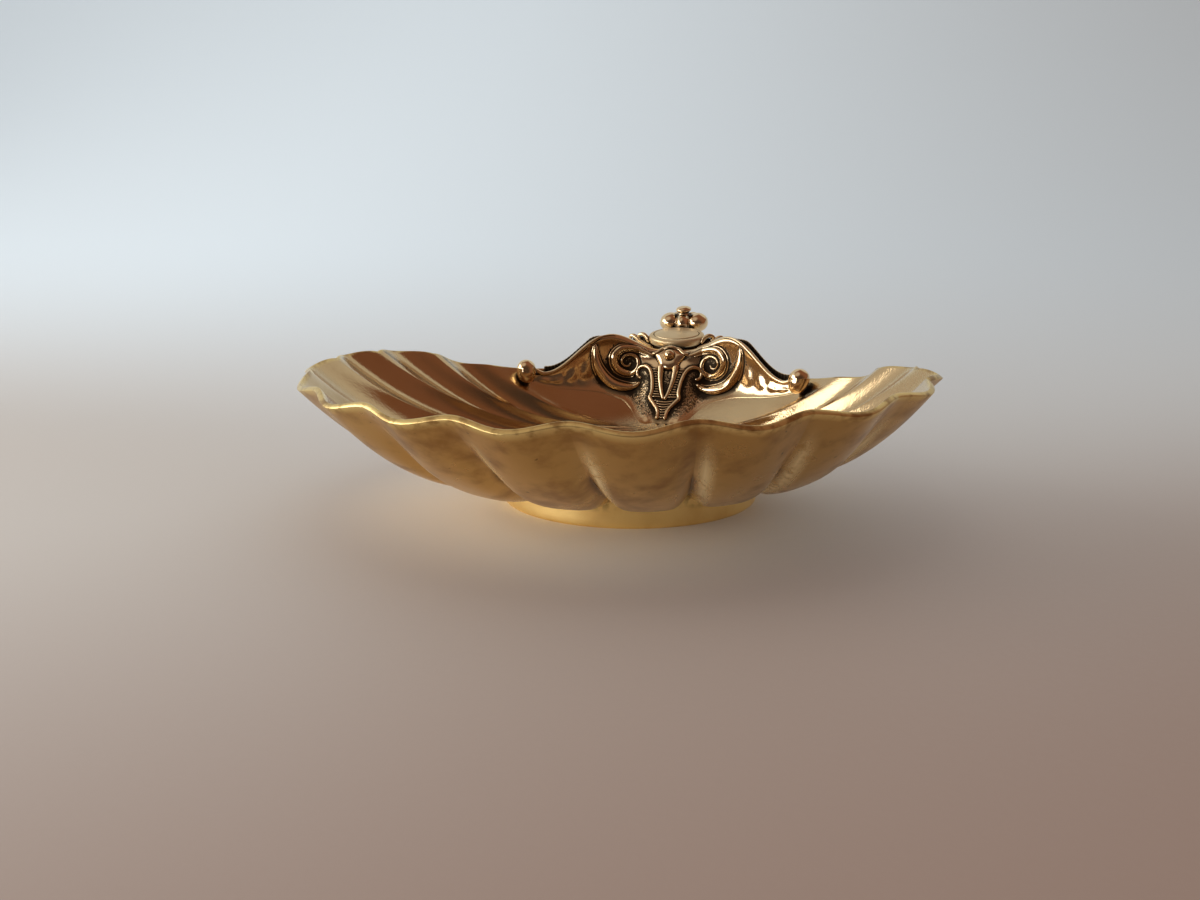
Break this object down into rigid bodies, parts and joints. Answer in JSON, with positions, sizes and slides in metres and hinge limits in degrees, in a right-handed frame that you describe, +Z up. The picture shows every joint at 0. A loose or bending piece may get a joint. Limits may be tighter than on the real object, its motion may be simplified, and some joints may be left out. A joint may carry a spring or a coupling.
{
  "type": "baptismal shell",
  "caption": "Brass scallop bowl on a low round foot, with a scrolled crest, medallion and flower finial at the back as the handle, for pouring water at a baptism.",
  "frame": {"origin": "middle of the foot on the surface it stands on", "axes": "+Z up; -Y towards the pouring edge, +Y towards the crest and its finial; +X to the right when looking from the pouring edge at the crest"},
  "size_m": [0.1346, 0.1456, 0.0417],
  "materials": {
    "bowl": "polished inside, satin and tarnished outside",
    "foot": "satin",
    "crest": "polished with dark patina in the recesses",
    "scrolls": "polished",
    "strap": "polished with dark patina in the recesses",
    "medallion": "satin",
    "finial": "polished"
  },
  "bodies": {
    "root": {"shell_bowl": "bowl", "foot_ring": "foot", "crest_plate": "crest", "left_gallery": "crest", "right_gallery": "crest", "left_volute": "scrolls", "right_volute": "scrolls", "left_crescent": "scrolls", "right_crescent": "scrolls", "left_ball": "scrolls", "right_ball": "scrolls", "strap_frame": "strap", "strap_rungs": "strap", "strap_boss": "strap", "handle_arm": "crest", "medallion_rim": "medallion", "medallion_plate": "medallion", "left_leaf": "crest", "right_leaf": "crest", "finial_flower": "finial", "finial_bead": "finial"}
  },
  "joints": []
}
